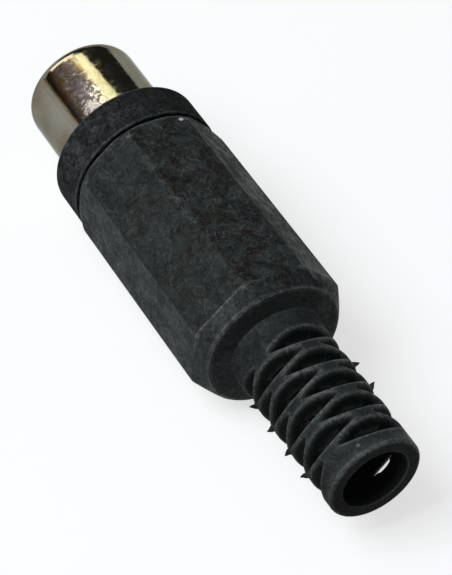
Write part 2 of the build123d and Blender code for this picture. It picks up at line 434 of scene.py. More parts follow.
def thread(x, angle, first_x, last_x):
    """How deep the thread's groove is cut, from 0 to 1, running out at both ends."""
    phase = (x / THREAD_PITCH - angle / (2 * pi)) % 1.0
    groove = np.clip(THREAD_GROOVE - np.abs(phase - 0.5) * THREAD_FLANK, 0, 1)
    run_out = np.clip((x - first_x) / THREAD_PITCH, 0, 1) * np.clip((last_x - x) / THREAD_PITCH, 0, 1)
    return groove * np.clip(run_out * THREAD_RUN_OUT, 0, 1)


def thread_stations(first_x, last_x):
    """Places along the axis of the thread's rows."""
    return arc(first_x, last_x, round((last_x - first_x) / THREAD_STEP))


def mesh_object(name, vertices, faces):
    """New smooth-shaded mesh object, in metres, from vertices in millimetres."""
    mesh = bpy.data.meshes.new(name)
    mesh.from_pydata((np.asarray(vertices) * MM).tolist(), [], faces)
    mesh.validate()
    mesh.shade_smooth()
    mesh.set_sharp_from_angle(angle=SHARP_ANGLE)
    piece = bpy.data.objects.new(name, mesh)
    bpy.context.scene.collection.objects.link(piece)
    return piece


def turned_points(rows, angles):
    """Vertices of rows of (x, radius) stations round the axis, counted row by row."""
    points = np.zeros((len(rows), len(angles), 3))
    for index, (x, radius) in enumerate(rows):
        points[index, :, 0] = x
        points[index, :, 1] = radius * np.sin(angles)
        points[index, :, 2] = radius * np.cos(angles)
    return points


def ring_faces(rows, columns, closed):
    """Quads between neighbouring rows, and from the last row to the first where it is closed."""
    faces = []
    for row in range(rows if closed else rows - 1):
        onward = (row + 1) % rows
        for column in range(columns):
            beside = (column + 1) % columns
            faces.append((row * columns + column, onward * columns + column,
                          onward * columns + beside, row * columns + beside))
    return faces


def turned_piece(name, rows, columns):
    """Closed piece turned about the axis, from rows of (x, radius) stations."""
    points = turned_points(rows, all_round(columns)).reshape(-1, 3)
    return mesh_object(name, points, ring_faces(len(rows), columns, True))


def grip_rows(angles):
    """Rows of the eight-sided grip, from its rounded front edge to the round shoulder's edge."""
    corner_r = grip_flat / cos(half_side)
    nose_r = collar_r - NOSE_INSET
    nose_slope = (corner_r - nose_r) / NOSE_LENGTH
    taper_slope = TAPER_DEPTH / TAPER_LENGTH
    cone_slope = (corner_r - shoulder_r) / CONE_LENGTH
    nose_first, nose_last, nose_steps = NOSE_ROWS
    flat_first, flat_last, flat_steps = FLAT_ROWS
    taper_first, taper_last, taper_steps = TAPER_ROWS
    quarter = 1 - np.cos(arc(0, pi / 2, ROUND_STEPS))
    stations = np.concatenate([
        cover_x + FRONT_ROUND * quarter,
        arc(cover_x + nose_first, cover_x + nose_last, nose_steps),
        arc(cover_x + flat_first, GRIP_X - flat_last, flat_steps),
        arc(GRIP_X - taper_first, shoulder_x - REAR_ROUND - taper_last, taper_steps),
        (shoulder_x - REAR_ROUND * quarter)[::-1],
    ])
    rows = []
    for x in stations:
        flat = soft_min(grip_flat, grip_flat - taper_slope * (x - GRIP_X), TAPER_SOFTNESS)
        radius = soft_min(octagon(angles, flat), nose_r + nose_slope * (x - cover_x), NOSE_SOFTNESS)
        radius = soft_min(radius, shoulder_r + cone_slope * (shoulder_x - SHOULDER_EDGE - x), CONE_SOFTNESS)
        from_front = min(x - cover_x, FRONT_ROUND)
        from_rear = min(shoulder_x - x, REAR_ROUND)
        radius = radius - FRONT_ROUND + sqrt(FRONT_ROUND**2 - (FRONT_ROUND - from_front) ** 2)
        radius = radius - REAR_ROUND + sqrt(REAR_ROUND**2 - (REAR_ROUND - from_rear) ** 2)
        rows.append((x, radius))
    return rows


def cover_rows():
    """Moulded cover: grip, shoulder and slotted relief outside, bore, cavity and thread inside.

    With its rows come their angles, the slots' stations, and where those start outside and inside.
    """
    corners = half_side + all_round(GRIP_SIDES)
    extra = [corners + share * CORNER_REACH for share in arc(-1, 1, CORNER_STEPS)]
    angles = np.concatenate([all_round(COVER_COLUMNS), *extra]) % (2 * pi)
    angles = np.unique(np.round(angles, ANGLE_DIGITS))

    slot_first = FIRST_ROW_X - SLOT_REACH
    slot_last = FIRST_ROW_X + (SLOT_ROWS - 1) * SLOT_ROW_STEP + SLOT_REACH
    slot_stations = arc(slot_first, slot_last, round((slot_last - slot_first) / SLOT_STEP))
    rows = grip_rows(angles)
    rows += rounded_path([
        (shoulder_x + SHOULDER_LEAD, shoulder_r - SHOULDER_EDGE - SHOULDER_LAND, 0),
        (relief_x, relief_r, RELIEF_FILLET),
        (slot_first - SLOT_MARGIN, relief_r, 0),
    ])
    outer_first = len(rows)
    rows += [(x, slotted(x, angles)) for x in slot_stations]
    rows += rounded_path([
        (slot_last + SLOT_MARGIN, relief_r, 0),
        (end_x, relief_r, RELIEF_END_ROUND),
        (end_x, cable_r, MOUTH_ROUND),
        (slot_last + SLOT_MARGIN, cable_r, 0),
    ])
    inner_first = len(rows)
    rows += [(x, cable_r) for x in slot_stations[::-1]]
    rows += [(x, cable_r) for x in arc(slot_first - SLOT_MARGIN, BORE_X, BORE_STEPS)]
    rows += rounded_path([
        (BORE_X - BORE_EDGE, cable_r + BORE_EDGE, 0),
        (CAVITY_X, cavity_r, CAVITY_ROUND),
        (ring_x + BORE_STEP_SLANT, cavity_r, BORE_STEP_ROUND),
        (ring_x, cover_bore_r, BORE_STEP_ROUND),
        (ring_x - BORE_STEP_LEAD, cover_bore_r, 0),
    ], EDGE_STEPS)
    thread_first = cover_x + BORE_MOUTH + THREAD_MARGIN
    thread_last = tag_low.x + THREAD_MARGIN
    for x in thread_stations(thread_first, thread_last)[::-1]:
        rows.append((x, cover_bore_r + THREAD_DEPTH * thread(x, angles, thread_first, thread_last)))
    rows += [(cover_x + BORE_MOUTH, cover_bore_r), (cover_x, cover_bore_r + BORE_MOUTH)]
    return rows, angles, slot_stations, outer_first, inner_first


def open_holes(rows, angles, slot_stations, outer_first, inner_first):
    """Vertices and quads of the cover, open where a slot is deeper than the bore's wall."""
    columns = len(angles)
    points = turned_points(rows, angles)
    stations, turns = np.meshgrid(slot_stations, angles, indexing="ij")
    spare = slotted(stations, turns) - cable_r - HOLE_LIP
    hole = spare <= 0
    around = np.zeros_like(hole)
    for down in (-1, 0, 1):
        for across in (-1, 0, 1):
            around |= ~np.roll(np.roll(hole, down, 0), across, 1)
    rim = hole & around
    for _ in range(HOLE_PASSES):
        spare = slotted(stations, turns) - cable_r - HOLE_LIP
        along = (slotted(stations + HOLE_NUDGE, turns) - cable_r - HOLE_LIP - spare) / HOLE_NUDGE
        across = (slotted(stations, turns + HOLE_NUDGE / cable_r) - cable_r - HOLE_LIP - spare) / HOLE_NUDGE
        steep = np.maximum(along**2 + across**2, LEAST_STEEPNESS)
        step_x = np.clip(-spare * along / steep, -SLOT_STEP / 2, SLOT_STEP / 2)
        step_turn = np.clip(-spare * across / steep, -SLOT_STEP / 2, SLOT_STEP / 2) / cable_r
        stations = np.where(rim, stations + step_x, stations)
        turns = np.where(rim, turns + step_turn, turns)
    moved = np.stack([stations, cable_r * np.sin(turns), cable_r * np.cos(turns)], axis=2)

    count = len(slot_stations)
    outer = slice(outer_first, outer_first + count)
    points[outer][rim] = moved[rim]
    index = np.arange(len(rows) * columns).reshape(len(rows), columns)
    inner_index = index[inner_first:inner_first + count][::-1]
    inner_index[rim] = index[outer][rim]
    dropped = np.zeros((len(rows), columns), bool)
    dropped[outer] = hole
    dropped[inner_first:inner_first + count] = hole[::-1]
    faces = []
    for row in range(len(rows)):
        onward = (row + 1) % len(rows)
        for column in range(columns):
            beside = (column + 1) % columns
            ring = ((row, column), (onward, column), (onward, beside), (row, beside))
            if all(dropped[place] for place in ring):
                continue
            corners = list(dict.fromkeys(int(index[place]) for place in ring))
            if len(corners) > 2:
                faces.append(corners)
    return points.reshape(-1, 3), faces


def compact(points, faces):
    """The same faces with only the vertices that they use."""
    used = np.unique(np.concatenate([np.array(face) for face in faces]))
    place = np.zeros(len(points), int)
    place[used] = np.arange(len(used))
    return points[used], [[int(place[v]) for v in face] for face in faces]


def flash_nib(x, angle, lean):
    """Ragged hook of flash on the mould's parting line, as vertices and faces of a closed wedge."""
    waves_round, waves_along, waves_up = FLASH_WAVES
    points = []
    for share in arc(0, 1, FLASH_RINGS - 1):
        radius = relief_r - FLASH_ROOT + (FLASH_ROOT + FLASH_HEIGHT) * share
        middle = x + lean * share**2
        swell = FLASH_SWELL - share**FLASH_TAPER
        for turn in all_round(FLASH_SIDES):
            wave = sin(waves_round * turn + waves_along * x + waves_up * share)
            ragged = swell * (1 + FLASH_RAGGED * wave)
            along = cos(turn) * FLASH_LENGTH / 2 * ragged
            across = sin(turn) * FLASH_THICKNESS / 2 * ragged
            points.append((middle + along, radius * sin(angle) + across * cos(angle),
                           radius * cos(angle) - across * sin(angle)))
    faces = [face[::-1] for face in ring_faces(FLASH_RINGS, FLASH_SIDES, False)]
    faces.append(tuple(range(FLASH_SIDES)))
    faces.append(tuple(range(len(points) - 1, len(points) - 1 - FLASH_SIDES, -1)))
    return np.array(points), faces


def with_flash(points, faces):
    """The cover's mesh with flash added on four ridges of one side and two of the other."""
    for side, row, lean in FLASH_HOOKS:
        x = FIRST_ROW_X + row * SLOT_ROW_STEP + side * FLASH_SHIFT
        nib_points, nib_faces = flash_nib(x, draw_angle + side * pi / 2, lean)
        faces = faces + [tuple(v + len(points) for v in face) for face in nib_faces]
        points = np.concatenate([points, nib_points])
    return points, faces


def barrel_rows():
    """Barrel: bore, rounded rim that drops a little, seat in the collar, and neck rolled over the tag."""
    rim_x = barrel_low.x
    rivet_x = barrel_high.x
    bore_start = rim_x + RIM_ROUND
    land_r = barrel_r - RIM_ROUND
    rows = rounded_path([
        (bore_start, barrel_bore_r, 0),
        (rim_x, barrel_bore_r, RIM_INNER_ROUND),
        (rim_x, land_r - RIM_DROP, 0),
    ])
    rim = rounded_path([
        (rim_x, land_r, 0),
        (rim_x, barrel_r, RIM_ROUND),
        (RIM_DROP_X, barrel_r, 0),
    ], RIM_STEPS)
    rim[-1:] = [(x, barrel_r) for x in arc(rim_x + RIM_ROUND + 2 * EDGE_GUARD, RIM_DROP_X, RIM_DROP_STEPS)]
    for x, radius in rim[1:]:
        rows.append((x, radius - RIM_DROP * np.clip((RIM_DROP_X - x) / RIM_DROP_LENGTH, 0, 1) ** 2))
    rows += rounded_path([
        (RIM_DROP_X + RIM_DROP_LENGTH, barrel_r, 0),
        (0, barrel_r, METAL_EDGE),
        (0, barrel_seat_r, METAL_EDGE),
        (BARREL_SEAT_DEPTH, barrel_seat_r, METAL_EDGE),
        (BARREL_SEAT_DEPTH, neck_r, METAL_EDGE),
        (ring_x, neck_r, METAL_EDGE),
        (ring_x, neck_r + rivet_x - ring_x, METAL_EDGE),
        (rivet_x, neck_r, METAL_EDGE),
        (rivet_x, neck_bore_r, METAL_EDGE),
        (barrel_floor_x, neck_bore_r, METAL_EDGE),
        (barrel_floor_x, barrel_bore_r, METAL_EDGE),
        (bore_start + RIM_ROUND, barrel_bore_r, 0),
    ], EDGE_STEPS)
    return rows


def core_rows():
    """Core: entry for the plug's pin, face in the barrel's mouth, stem, and chamber for the contact."""
    face_x = core_low.x
    entry_r = pin_r + ENTRY_CLEARANCE
    return rounded_path([
        (face_x + (ENTRY_CHAMFER + ENTRY_DEPTH) / 2, entry_r, 0),
        (face_x + ENTRY_CHAMFER, entry_r, CORE_EDGE),
        (face_x, entry_r + ENTRY_CHAMFER, CORE_EDGE),
        (face_x, core_high.y, CORE_EDGE),
        (barrel_floor_x, core_high.y, CORE_EDGE),
        (barrel_floor_x, stem_r, CORE_EDGE),
        (core_high.x, stem_r, CORE_EDGE),
        (core_high.x, chamber_r, CORE_EDGE),
        (face_x + ENTRY_DEPTH, chamber_r, CORE_EDGE),
        (face_x + ENTRY_DEPTH, entry_r, CORE_EDGE),
        (face_x + ENTRY_DEPTH - 2 * CORE_EDGE, entry_r, 0),
    ])


def front_body_rows():
    """Front body: collar with soft edges, threaded spigot, and the bore that holds the barrel."""
    angles = all_round(BODY_COLUMNS)
    seat_r = barrel_seat_r + PRESS_CLEARANCE
    bore_r = neck_r + PRESS_CLEARANCE
    collar_x = cover_x - SEAM_GAP
    chamfer_x = spigot_x - SPIGOT_CHAMFER
    first_x, last_x = BODY_BORE_ROWS
    rows = rounded_path([
        (first_x, seat_r, 0),
        (0, seat_r, COLLAR_SEAT_ROUND),
        (0, collar_r, COLLAR_FRONT_ROUND),
        (collar_x, collar_r, COLLAR_REAR_ROUND),
        (collar_x, spigot_r, SPIGOT_ROOT_ROUND),
        (collar_x + SPIGOT_ROOT, spigot_r, 0),
    ])
    thread_first = collar_x + SPIGOT_ROOT + SPIGOT_LEAD
    thread_last = chamfer_x - SPIGOT_LEAD
    for x in thread_stations(thread_first, thread_last):
        rows.append((x, spigot_r - THREAD_DEPTH * thread(x, angles, thread_first, thread_last)))
    rows += rounded_path([
        (chamfer_x - SPIGOT_CHAMFER_ROUND, spigot_r, 0),
        (chamfer_x, spigot_r, SPIGOT_CHAMFER_ROUND),
        (spigot_x, spigot_r - SPIGOT_CHAMFER, SPIGOT_END_ROUND),
        (spigot_x, bore_r, BODY_BORE_ROUND),
        (BARREL_SEAT_DEPTH, bore_r, BODY_BORE_ROUND),
        (BARREL_SEAT_DEPTH, seat_r, BODY_BORE_ROUND),
        (last_x, seat_r, 0),
    ], EDGE_STEPS)
    return rows


def edge_wear_and_highlight(mesh, places, normals):
    """Pale edges at each vertex, from 0 to 1, by how sharply the surface bends outwards: wear and painted
    highlight.
    """
    edges = np.zeros(len(mesh.edges) * 2, np.int32)
    mesh.edges.foreach_get("vertices", edges)
    edges = edges.reshape(-1, 2)
    here, there = np.concatenate([edges, edges[:, ::-1]]).T
    links = np.maximum(np.bincount(here, minlength=len(places)), 1)
    step = places[there] - places[here]
    bend = -2 * (step * normals[here]).sum(1) / np.maximum((step**2).sum(1), LEAST_LENGTH_SQUARED)
    bend = np.bincount(here, bend, len(places)) / links
    wear = np.clip((bend - LEAST_EDGE_BEND) / EDGE_BEND_RANGE, 0, 1)
    for _ in range(EDGE_SMOOTHING):
        wear = (wear + np.bincount(here, wear[there], len(places)) / links) / 2
    return wear


def bell(distance, width):
    """1 at no distance, falling smoothly to 0 over a few widths."""
    return np.exp(-((distance / width) ** 2))


def mark_skin(piece, side_scuffs):
    """Stores pale edges (wear and painted highlight), scuffs and painted shade of a moulding, 0 to 1 at its
    vertices.
    """
    mesh = piece.data
    places = np.zeros(len(mesh.vertices) * 3, np.float32)
    mesh.vertices.foreach_get("co", places)
    places = places.reshape(-1, 3) / MM
    normals = np.zeros(places.size, np.float32)
    mesh.vertex_normals.foreach_get("vector", normals)
    normals = normals.reshape(-1, 3)
    x = places[:, 0]
    radius = np.hypot(places[:, 1], places[:, 2])
    turn = np.arctan2(places[:, 1], places[:, 2])
    on_collar = x < cover_x
    on_grip = (x > cover_x + NOSE_LENGTH) & (x < GRIP_X - LINE_WIDTH) & (radius > grip_flat - LINE_WIDTH)
    behind_grip = (x > GRIP_X - 3 * LINE_WIDTH) & (radius > shoulder_r - SHOULDER_EDGE)
    on_relief = x > relief_x

    side = np.round(turn / (2 * half_side)).astype(int) % GRIP_SIDES
    # Side of the relief that lies in shade, where it gets more mottle, painted shade and fewer pale edges
    relief_shaded_side = bell(turn - RELIEF_SHADED_ANGLE, RELIEF_SHADED_SPREAD) * on_relief
    relief_scuff = RELIEF_SCUFF + RELIEF_SIDE_SCUFF * relief_shaded_side
    scuff = np.where(x > shoulder_x, relief_scuff, np.array(side_scuffs)[side])

    # Painted highlights on the lit side: on the taper, along the rear edges of the flats and the shoulder,
    # and round the neck
    lit_side = bell(turn - REAR_LINE_ANGLE, REAR_LINE_SPREAD)
    flat_end = bell(x - GRIP_X, LINE_WIDTH)
    shoulder_line = bell(x - shoulder_x + SHOULDER_EDGE, LINE_WIDTH)
    neck_highlight = NECK_LINE_HIGHLIGHT * bell(x - relief_x - LINE_WIDTH, LINE_WIDTH) * (radius > cable_r + LINE_WIDTH)
    taper_highlight = TAPER_HIGHLIGHT * lit_side * (x > GRIP_X)
    rear_highlight = behind_grip * np.maximum(taper_highlight, REAR_LINE_HIGHLIGHT * lit_side * np.maximum(flat_end, shoulder_line))
    wear = edge_wear_and_highlight(mesh, places, normals)
    for region, share in (
        (on_grip, CORNER_PALE_EDGE),
        (on_collar, COLLAR_PALE_EDGE),
        (x > end_x - EDGE_GUARD, END_FACE_PALE_EDGE),
        (on_relief & (radius > relief_r + LINE_WIDTH), FLASH_PALE_EDGE),
        (on_relief & (radius < cable_r + MOUTH_ROUND), MOUTH_PALE_EDGE),
    ):
        wear = wear * np.where(region, share, 1)
    # Darkened beside the seam on its upper side. Pale edges fade there, and as painted shade on the relief's
    # shaded side.
    seam = SEAM_DARKENING * bell(x - cover_x + SEAM_WIDTH / 2, SEAM_WIDTH) * bell(turn - SEAM_ANGLE, SEAM_SPREAD)
    wear = np.maximum(np.maximum(wear, rear_highlight), neck_highlight) * (1 - seam) * (1 - RELIEF_SIDE_FADE * relief_shaded_side)

    # Painted shade: slot walls and depths, the shoulder's face, the inside of the cover, the collar away from
    # its lit side, the relief's shaded side
    slope = np.abs(normals[:, 0])
    on_wall = np.clip((slope - LEAST_WALL_SLOPE) / WALL_SLOPE_FADE, 0, 1) * (x < end_x - SLOT_ROW_STEP)
    slot_shade = np.maximum(on_wall, np.clip((relief_r - radius - SLOT_SHADE_DEPTH) / SLOT_SHADE_FADE, 0, 1))
    shoulder_shade = SHOULDER_SHADE * np.clip((shoulder_r - SHOULDER_EDGE / 2 - radius) / SHOULDER_FADE, 0, 1)
    inside = (radius < cover_bore_r + THREAD_DEPTH) & (x > cover_x)
    bare = np.where(on_relief, slot_shade, np.where(x > shoulder_x - SHOULDER_EDGE, shoulder_shade, inside))
    collar = COLLAR_SHADE * (1 - bell(turn - COLLAR_LIT_ANGLE, COLLAR_LIT_SPREAD)) * on_collar
    bare = np.maximum(np.maximum(bare, collar), np.maximum(RELIEF_SIDE_SHADE * relief_shaded_side, seam))
    ragged = DARK_CORNER_SHARE
    for height, along, around in DARK_CORNER_WAVES:
        ragged = ragged + height * np.sin(along * x + around * turn)
    for corner in DARK_CORNERS:
        bare = np.maximum(bare, ragged * bell(radius * (turn - corner), DARK_CORNER_WIDTH) * on_grip)
    for name, values in (("wear", wear), ("scuff", scuff), ("bare", bare)):
        mesh.attributes.new(name, "FLOAT", "POINT").data.foreach_set("value", values.astype(np.float32))


cover = mesh_object("cover_moulding", *with_flash(*compact(*open_holes(*cover_rows()))))
mark_skin(cover, SIDE_SCUFFS)
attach(cover, "cover")
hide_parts("rear_cover")

barrel = turned_piece("barrel_turned", barrel_rows(), BARREL_COLUMNS)
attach(barrel, "socket")
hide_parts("barrel")

core = turned_piece("core_moulding", core_rows(), CORE_COLUMNS)
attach(core, "socket")
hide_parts("insulator")

front_body = turned_piece("front_body_threaded", front_body_rows(), BODY_COLUMNS)
mark_skin(front_body, COLLAR_SCUFFS)
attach(front_body, "socket")
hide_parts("front_body")


def metres(values):
    """Millimetres as metres."""
    return [value * MM for value in values]


def grey(value):
    """Grey as a colour."""
    return (value, value, value)


def new_material(name):
    """New node material, as its material, its node tree and its main shader."""
    material = bpy.data.materials.new(name)
    material.use_nodes = True
    return material, material.node_tree, material.node_tree.nodes["Principled BSDF"]


def noise_node(tree, scale, detail, roughness, swirl=0):
    """Noise in the piece's own space, with features of about 1/scale metres."""
    place = tree.nodes.new("ShaderNodeTexCoord")
    texture = tree.nodes.new("ShaderNodeTexNoise")
    texture.inputs["Distortion"].default_value = swirl
    texture.inputs["Scale"].default_value = scale
    texture.inputs["Detail"].default_value = detail
    texture.inputs["Roughness"].default_value = roughness
    tree.links.new(place.outputs["Object"], texture.inputs["Vector"])
    return texture.outputs["Fac"]


def ramp_node(tree, value, stops):
    """Colour ramp over a value, from stops of (place, colour)."""
    ramp = tree.nodes.new("ShaderNodeValToRGB")
    while len(ramp.color_ramp.elements) < len(stops):
        ramp.color_ramp.elements.new(0.5)
    for element, (place, colour) in zip(ramp.color_ramp.elements, stops):
        element.position = place
        element.color = (*colour, 1)
    tree.links.new(value, ramp.inputs["Fac"])
    return ramp.outputs["Color"]


def range_node(tree, value, low, high, to_low, to_high):
    """Value mapped from one range to another and held at its ends."""
    node = tree.nodes.new("ShaderNodeMapRange")
    for socket, number in zip(node.inputs[1:5], (low, high, to_low, to_high)):
        socket.default_value = number
    tree.links.new(value, node.inputs["Value"])
    return node.outputs["Result"]


def bump_node(tree, height, distance, strength, normal=None):
    """Normal bent by a height, in metres."""
    node = tree.nodes.new("ShaderNodeBump")
    node.inputs["Distance"].default_value = distance
    if isinstance(strength, bpy.types.NodeSocket):
        tree.links.new(strength, node.inputs["Strength"])
    else:
        node.inputs["Strength"].default_value = strength
    tree.links.new(height, node.inputs["Height"])
    if normal:
        tree.links.new(normal, node.inputs["Normal"])
    return node.outputs["Normal"]


def mix_node(tree, kind, share, first, second, blend="MIX"):
    """Two values or colours blended by a share; each is a socket or a constant."""
    node = tree.nodes.new("ShaderNodeMix")
    node.data_type = kind
    node.blend_type = blend
    places = {"FLOAT": (0, 2, 3, 0), "RGBA": (0, 6, 7, 2)}[kind]
    for place, source in zip(places, (share, first, second)):
        if isinstance(source, bpy.types.NodeSocket):
            tree.links.new(source, node.inputs[place])
        else:
            node.inputs[place].default_value = source
    return node.outputs[places[3]]


def times_node(tree, share, value):
    """A value times a share from 0 to 1."""
    return mix_node(tree, "FLOAT", share, 0.0, value)


def dot_node(tree, place, direction):
    """How far a place lies out along a direction."""
    node = tree.nodes.new("ShaderNodeVectorMath")
    node.operation = "DOT_PRODUCT"
    node.inputs[1].default_value = direction
    tree.links.new(place, node.inputs[0])
    return node.outputs["Value"]


def attribute(tree, name):
    """Value that a mesh stores at its vertices, 0 where it stores none."""
    node = tree.nodes.new("ShaderNodeAttribute")
    node.attribute_name = name
    return node.outputs["Fac"]


def line_node(tree, value, middle, width):
    """Thin winding lines out of a noise: 1 within a third of a width from its middle, 0 beyond the width."""
    away = tree.nodes.new("ShaderNodeMath")
    away.operation = "SUBTRACT"
    away.inputs[1].default_value = middle
    tree.links.new(value, away.inputs[0])
    size = tree.nodes.new("ShaderNodeMath")
    size.operation = "ABSOLUTE"
    tree.links.new(away.outputs["Value"], size.inputs[0])
    return range_node(tree, size.outputs["Value"], width / 3, width, 1, 0)


def worm_node(tree, worm, broken, scuff, middle, width, breaks):
    """Share of winding marks that are broken up by a second noise and only lie where it is scuffed."""
    whole = range_node(tree, broken, *breaks)
    mark = times_node(tree, line_node(tree, worm, middle, width), whole)
    return times_node(tree, mark, scuff)


def speck_node(tree, x, turn, radius, size):
    """1 inside a small round speck on the skin, 0 outside it."""
    away = tree.nodes.new("ShaderNodeVectorMath")
    away.operation = "DISTANCE"
    away.inputs[1].default_value = Vector((x, radius * sin(turn), radius * cos(turn))) * MM
    tree.links.new(tree.nodes.new("ShaderNodeTexCoord").outputs["Object"], away.inputs[0])
    return range_node(tree, away.outputs["Value"], SPECK_CORE * size * MM, size * MM, 1, 0)


def plastic(name, slate, brown, worn_and_highlight, rough, sheen, patches=COVER_PATCHES, specks=()):
    """Satin black moulding with patches of two tints.

    It has worm marks where it is scuffed, pale edges of wear and painted highlight, and painted shade in
    black.
    """
    material, tree, shader = new_material(name)
    shader.inputs["Specular IOR Level"].default_value = sheen
    scuff = attribute(tree, "scuff")
    bare = attribute(tree, "bare")
    patch_scale, patch_low, patch_high = patches
    rough_low, rough_high = rough
    patch = noise_node(tree, patch_scale, *PATCH_FORM)
    wrinkle = noise_node(tree, *WRINKLE_NOISE)
    worm = noise_node(tree, *WORM_NOISE)
    broken = noise_node(tree, *WORM_BREAK_NOISE)
    grain = noise_node(tree, *GRAIN_NOISE)

    tints = ramp_node(tree, patch, [(patch_low, brown), (patch_high, slate)])
    tint = mix_node(tree, "RGBA", scuff, (*slate, 1), tints)
    shade = ramp_node(tree, wrinkle, [(place, grey(value)) for place, value in WRINKLE_SHADES])
    shade = mix_node(tree, "RGBA", scuff, (1, 1, 1, 1), shade)
    colour = mix_node(tree, "RGBA", 1.0, tint, shade, "MULTIPLY")
    dark_worm = worm_node(tree, worm, broken, scuff, *DARK_WORM)
    pale_worm = worm_node(tree, worm, broken, scuff, *PALE_WORM)
    colour = mix_node(tree, "RGBA", pale_worm, colour, (*worn_and_highlight, 1))
    colour = mix_node(tree, "RGBA", dark_worm, colour, (*SHADE_AND_MARK_BLACK, 1))
    # Painted shade, black where the mesh marks it
    colour = mix_node(tree, "RGBA", bare, colour, (*SHADE_AND_MARK_BLACK, 1))
    # Pale edges, partly wear and partly painted highlight
    broken_pale_edge = range_node(tree, wrinkle, *PALE_EDGE_BREAKS)
    rubbed = times_node(tree, broken_pale_edge, attribute(tree, "wear"))
    colour = mix_node(tree, "RGBA", rubbed, colour, (*worn_and_highlight, 1))
    for x, turn, radius, size, strength in specks:
        speck = times_node(tree, strength, speck_node(tree, x, turn, radius, size))
        colour = mix_node(tree, "RGBA", speck, colour, (*SPECK_PALE, 1))
    tree.links.new(colour, shader.inputs["Base Color"])

    mottle = mix_node(tree, "FLOAT", 0.5, patch, wrinkle)
    skin = range_node(tree, mottle, *MOTTLE_RANGE, rough_high, rough_low)
    skin = mix_node(tree, "FLOAT", bare, skin, SHADE_AND_MARK_ROUGHNESS)
    skin = mix_node(tree, "FLOAT", dark_worm, skin, SHADE_AND_MARK_ROUGHNESS)
    tree.links.new(mix_node(tree, "FLOAT", rubbed, skin, PALE_EDGE_ROUGHNESS), shader.inputs["Roughness"])
    coarse = bump_node(tree, wrinkle, WRINKLE_HEIGHT * MM, scuff)
    coarse = bump_node(tree, dark_worm, -WORM_DEPTH * MM, 1.0, coarse)
    fine = bump_node(tree, grain, GRAIN_HEIGHT * MM, GRAIN_STRENGTH, coarse)
    tree.links.new(fine, shader.inputs["Normal"])
    return material


def nickel(name):
    """Old nickel plate, slightly wavy and stained, with a patch that plugs have rubbed dull."""
    material, tree, shader = new_material(name)
    shader.inputs["Metallic"].default_value = 1
    shader.inputs["Specular Tint"].default_value = (*PLATE_EDGE_TINT, 1)
    wave = noise_node(tree, *WAVE_NOISE)
    stain = noise_node(tree, *STAIN_NOISE)
    fleck = noise_node(tree, *FLECK_NOISE)
    place = tree.nodes.new("ShaderNodeTexCoord").outputs["Object"]
    outward = dot_node(tree, place, (0, sin(RUB_ANGLE), cos(RUB_ANGLE)))
    across = dot_node(tree, place, (0, cos(RUB_ANGLE), -sin(RUB_ANGLE)))
    split = tree.nodes.new("ShaderNodeSeparateXYZ")
    tree.links.new(place, split.inputs["Vector"])

    side = mix_node(tree, "FLOAT", RUB_SIDE_RAGGED * MM, outward, fleck)
    rubbed = range_node(tree, side, *metres(RUB_REACH), 0, 1)
    front = mix_node(tree, "FLOAT", RUB_FRONT_RAGGED * MM, split.outputs["X"], fleck)
    rubbed = times_node(tree, range_node(tree, front, *metres(RUB_FRONT), 0, 1), rubbed)
    along = range_node(tree, split.outputs["X"], *metres(RUB_LENGTH), *RUB_LENGTH_TONES)
    tone = mix_node(tree, "FLOAT", RUB_LENGTH_SHARE, fleck, along)
    burnt = range_node(tree, across, *metres(RUB_BURNT), RUB_BURNT_SHARE, 0)
    tone = mix_node(tree, "FLOAT", burnt, tone, RUB_BURNT_TONE)

    plain = ramp_node(tree, stain, PLATE_COLOURS)
    dull = ramp_node(tree, tone, RUB_COLOURS)
    golden = mix_node(tree, "RGBA", 1.0, dull, (*RUB_GOLDEN_TINT, 1), "MULTIPLY")
    dull = mix_node(tree, "RGBA", range_node(tree, stain, *RUB_GOLDEN_RANGE), dull, golden)
    tree.links.new(mix_node(tree, "RGBA", rubbed, plain, dull), shader.inputs["Base Color"])
    haze = range_node(tree, fleck, *PLATE_HAZE)
    scratched = range_node(tree, tone, *RUB_HAZE)
    tree.links.new(mix_node(tree, "FLOAT", rubbed, haze, scratched), shader.inputs["Roughness"])
    tree.links.new(bump_node(tree, wave, WAVE_HEIGHT * MM, 1.0), shader.inputs["Normal"])
    return material


def metal(name, dark, light, rough):
    """Plain plated metal with slight stains."""
    material, tree, shader = new_material(name)
    shader.inputs["Metallic"].default_value = 1
    patch = noise_node(tree, *STRIP_NOISE)
    tree.links.new(ramp_node(tree, patch, list(zip(STRIP_RANGE, (dark, light)))), shader.inputs["Base Color"])
    tree.links.new(range_node(tree, patch, *STRIP_RANGE, *rough), shader.inputs["Roughness"])
    return material


def seen_rays(tree):
    """1 on rays from the camera, a reflection or clear glass, and 0 on light that bounces."""
    path = tree.nodes.new("ShaderNodeLightPath")
    total = path.outputs["Is Camera Ray"]
    for kind in ("Is Glossy Ray", "Is Transmission Ray"):
        add = tree.nodes.new("ShaderNodeMath")
        add.operation = "MAXIMUM"
        tree.links.new(total, add.inputs[0])
        tree.links.new(path.outputs[kind], add.inputs[1])
        total = add.outputs["Value"]
    return total


def pale_floor(name):
    """Matt floor with its shadow, lifted towards white where it is seen, more where the lamps fade."""
    material, tree, shader = new_material(name)
    shader.inputs["Base Color"].default_value = (*FLOOR_GREY, 1)
    shader.inputs["Roughness"].default_value = 1
    shader.inputs["Specular IOR Level"].default_value = 0
    shader.inputs["Emission Color"].default_value = (1, 1, 1, 1)
    away = tree.nodes.new("ShaderNodeVectorMath")
    away.operation = "LENGTH"
    tree.links.new(tree.nodes.new("ShaderNodeTexCoord").outputs["Object"], away.inputs[0])
    lift = range_node(tree, away.outputs["Value"], *FLOOR_FADE, *FLOOR_LIFT)
    tree.links.new(times_node(tree, seen_rays(tree), lift), shader.inputs["Emission Strength"])
    return material


